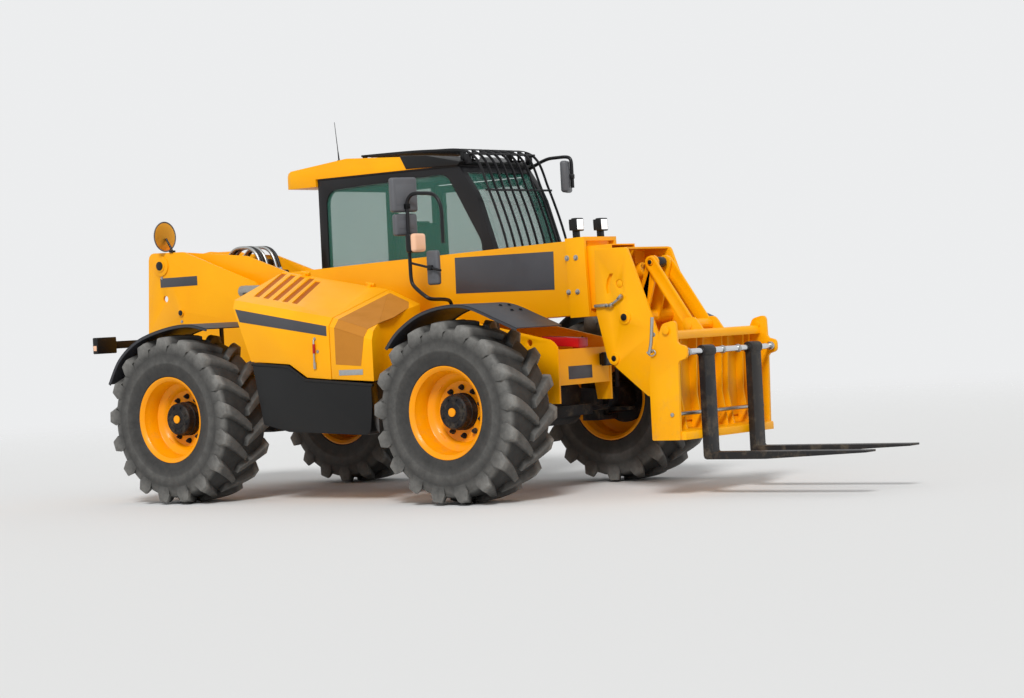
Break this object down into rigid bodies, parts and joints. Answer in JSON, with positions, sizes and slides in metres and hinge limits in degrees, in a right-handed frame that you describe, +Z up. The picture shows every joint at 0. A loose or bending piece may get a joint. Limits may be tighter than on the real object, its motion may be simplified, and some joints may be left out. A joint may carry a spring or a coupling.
{
  "type": "telehandler",
  "caption": "Farm telehandler with a telescopic boom, pallet forks, offset cab under a bar guard, engine pod and steered lugged wheels.",
  "frame": {"origin": "on the ground under the middle of the outline", "axes": "+X forward to the forks, +Y to the machine's left, +Z up"},
  "size_m": [6.835, 2.48, 2.949],
  "materials": {
    "yellow_paint": "gloss",
    "red_paint": "gloss",
    "black_paint": "satin",
    "axle_paint": "satin",
    "cast_iron": "matte",
    "black_plastic": "moulded",
    "exhaust_steel": "satin",
    "glass": "clear, tinted",
    "seat_fabric": "woven",
    "hose_rubber": "matte",
    "chrome": "polished",
    "rim_paint": "gloss",
    "tyre": "matte"
  },
  "bodies": {
    "machine": {"chassis": "yellow_paint", "boom_prop": "red_paint", "counterweight": "black_paint", "front_axle": "axle_paint", "rear_axle": "axle_paint", "driveline": "cast_iron", "engine_block": "cast_iron", "pod_body": "black_paint", "grille_hood": "yellow_paint", "side_panel": "black_plastic", "exhaust": "exhaust_steel", "fuel_tank": "black_plastic", "cab_frame": "black_paint", "cab_roof": "yellow_paint", "cab_glass": "glass", "cab_interior": "black_plastic", "seat_cushion": "seat_fabric", "roof_guard": "black_paint", "antenna": "black_plastic", "lamps": "black_plastic", "mirror_arms": "black_paint", "mirrors": "black_plastic"},
    "door": {"cab_door": "black_paint", "door_glass": "glass"},
    "bonnet_lid": {"bonnet": "yellow_paint"},
    "boom": {"boom_outer": "yellow_paint", "boom_lamps": "black_plastic", "boom_pipes": "hose_rubber"},
    "inner_boom": {"boom_inner": "yellow_paint", "boom_head": "yellow_paint"},
    "lift_case": {"lift_barrel": "yellow_paint"},
    "lift_piston": {"lift_rod": "chrome"},
    "lever": {"tilt_lever": "yellow_paint"},
    "carriage_frame": {"carriage": "yellow_paint", "fork_bar": "chrome"},
    "link": {"tilt_link": "yellow_paint"},
    "tilt_case": {"tilt_barrel": "yellow_paint"},
    "tilt_piston": {"tilt_rod": "chrome"},
    "right_fork": {"fork_right": "black_paint"},
    "left_fork": {"fork_left": "black_paint"},
    "steer_fl": {"knuckle_fl": "axle_paint", "fender_fl": "black_plastic"},
    "wheel_fl": {"tyre_fl": "tyre", "rim_fl": "rim_paint", "hub_fl": "axle_paint"},
    "steer_fr": {"knuckle_fr": "axle_paint", "fender_fr": "black_plastic"},
    "wheel_fr": {"tyre_fr": "tyre", "rim_fr": "rim_paint", "hub_fr": "axle_paint"},
    "steer_rl": {"knuckle_rl": "axle_paint", "fender_rl": "black_plastic"},
    "wheel_rl": {"tyre_rl": "tyre", "rim_rl": "rim_paint", "hub_rl": "axle_paint"},
    "steer_rr": {"knuckle_rr": "axle_paint", "fender_rr": "black_plastic"},
    "wheel_rr": {"tyre_rr": "tyre", "rim_rr": "rim_paint", "hub_rr": "axle_paint"}
  },
  "joints": [
    {"name": "door_hinge", "type": "hinge", "parent": "machine", "child": "door", "pos_m": [-1.3075, 1.136, 1.69861], "axis": [0, 0, 1], "range_deg": [0, 90]},
    {"name": "bonnet_hinge", "type": "hinge", "parent": "machine", "child": "bonnet_lid", "pos_m": [-1.1275, -0.422, 1.67562], "axis": [-0.9842, 0, 0.1768], "range_deg": [0, 60]},
    {"name": "boom_lift", "type": "hinge", "parent": "machine", "child": "boom", "pos_m": [-3.1075, 0, 1.87861], "axis": [0, -1, 0], "range_deg": [-1.5, 65]},
    {"name": "boom_extend", "type": "slide", "parent": "boom", "child": "inner_boom", "axis": [0.9996, 0, 0.0279], "range_m": [0, 2.6]},
    {"name": "lift_barrel_pin", "type": "hinge", "parent": "machine", "child": "lift_case", "pos_m": [-2.9775, 0, 0.89862], "axis": [0, -1, 0], "range_deg": [-2, 54]},
    {"name": "lift_rod_slide", "type": "slide", "parent": "lift_case", "child": "lift_piston", "axis": [0.9941, 0, 0.1088], "range_m": [-0.03, 1.02]},
    {"name": "carriage_tilt", "type": "hinge", "parent": "inner_boom", "child": "carriage_frame", "pos_m": [1.7925, 0, 0.77861], "axis": [0, 1, 0], "range_deg": [-15, 60]},
    {"name": "tilt_lever_pin", "type": "hinge", "parent": "inner_boom", "child": "lever", "pos_m": [1.4825, 0, 1.25862], "axis": [0, 1, 0], "range_deg": [-16, 63]},
    {"name": "tilt_link_pin", "type": "hinge", "parent": "carriage_frame", "child": "link", "pos_m": [1.9125, 0, 1.17861], "axis": [0, 1, 0], "range_deg": [-62, 16]},
    {"name": "tilt_barrel_pin", "type": "hinge", "parent": "inner_boom", "child": "tilt_case", "pos_m": [1.0725, 0, 1.44861], "axis": [0, 1, 0], "range_deg": [-8, 29]},
    {"name": "tilt_rod_slide", "type": "slide", "parent": "tilt_case", "child": "tilt_piston", "axis": [0.9413, 0, 0.3375], "range_m": [-0.07, 0.275]},
    {"name": "fork_right_slide", "type": "slide", "parent": "carriage_frame", "child": "right_fork", "axis": [0, 1, 0], "range_m": [-0.12, 0.12]},
    {"name": "fork_left_slide", "type": "slide", "parent": "carriage_frame", "child": "left_fork", "axis": [0, 1, 0], "range_m": [-0.12, 0.12]},
    {"name": "steer_fl_pin", "type": "hinge", "parent": "machine", "child": "steer_fl", "pos_m": [0.5475, 0.71, 0.65361], "axis": [0, 0, 1], "range_deg": [-35, 35]},
    {"name": "wheel_fl_spin", "type": "hinge", "parent": "steer_fl", "child": "wheel_fl", "pos_m": [0.5475, 0.99, 0.65361], "axis": [0, 1, 0], "continuous": true},
    {"name": "steer_fr_pin", "type": "hinge", "parent": "machine", "child": "steer_fr", "pos_m": [0.5475, -0.71, 0.65361], "axis": [0, 0, 1], "range_deg": [-35, 35]},
    {"name": "wheel_fr_spin", "type": "hinge", "parent": "steer_fr", "child": "wheel_fr", "pos_m": [0.5475, -0.99, 0.65361], "axis": [0, 1, 0], "continuous": true},
    {"name": "steer_rl_pin", "type": "hinge", "parent": "machine", "child": "steer_rl", "pos_m": [-2.2025, 0.71, 0.65361], "axis": [0, 0, 1], "range_deg": [-35, 35]},
    {"name": "wheel_rl_spin", "type": "hinge", "parent": "steer_rl", "child": "wheel_rl", "pos_m": [-2.2025, 0.99, 0.65361], "axis": [0, 1, 0], "continuous": true},
    {"name": "steer_rr_pin", "type": "hinge", "parent": "machine", "child": "steer_rr", "pos_m": [-2.2025, -0.71, 0.65361], "axis": [0, 0, 1], "range_deg": [-35, 35]},
    {"name": "wheel_rr_spin", "type": "hinge", "parent": "steer_rr", "child": "wheel_rr", "pos_m": [-2.2025, -0.99, 0.65361], "axis": [0, 1, 0], "continuous": true}
  ],
  "couplings": [
    {"joint": "lift_barrel_pin", "follows": "boom_lift", "ratio": 0.8139},
    {"joint": "lift_rod_slide", "follows": "boom_lift", "m_per_rad": 0.89272},
    {"joint": "tilt_lever_pin", "follows": "carriage_tilt", "ratio": 1.0416},
    {"joint": "tilt_link_pin", "follows": "carriage_tilt", "ratio": -1.0248},
    {"joint": "tilt_barrel_pin", "follows": "carriage_tilt", "ratio": 0.4688},
    {"joint": "tilt_rod_slide", "follows": "carriage_tilt", "m_per_rad": 0.25987},
    {"joint": "steer_fr_pin", "follows": "steer_fl_pin", "ratio": 1},
    {"joint": "steer_rr_pin", "follows": "steer_rl_pin", "ratio": 1}
  ]
}
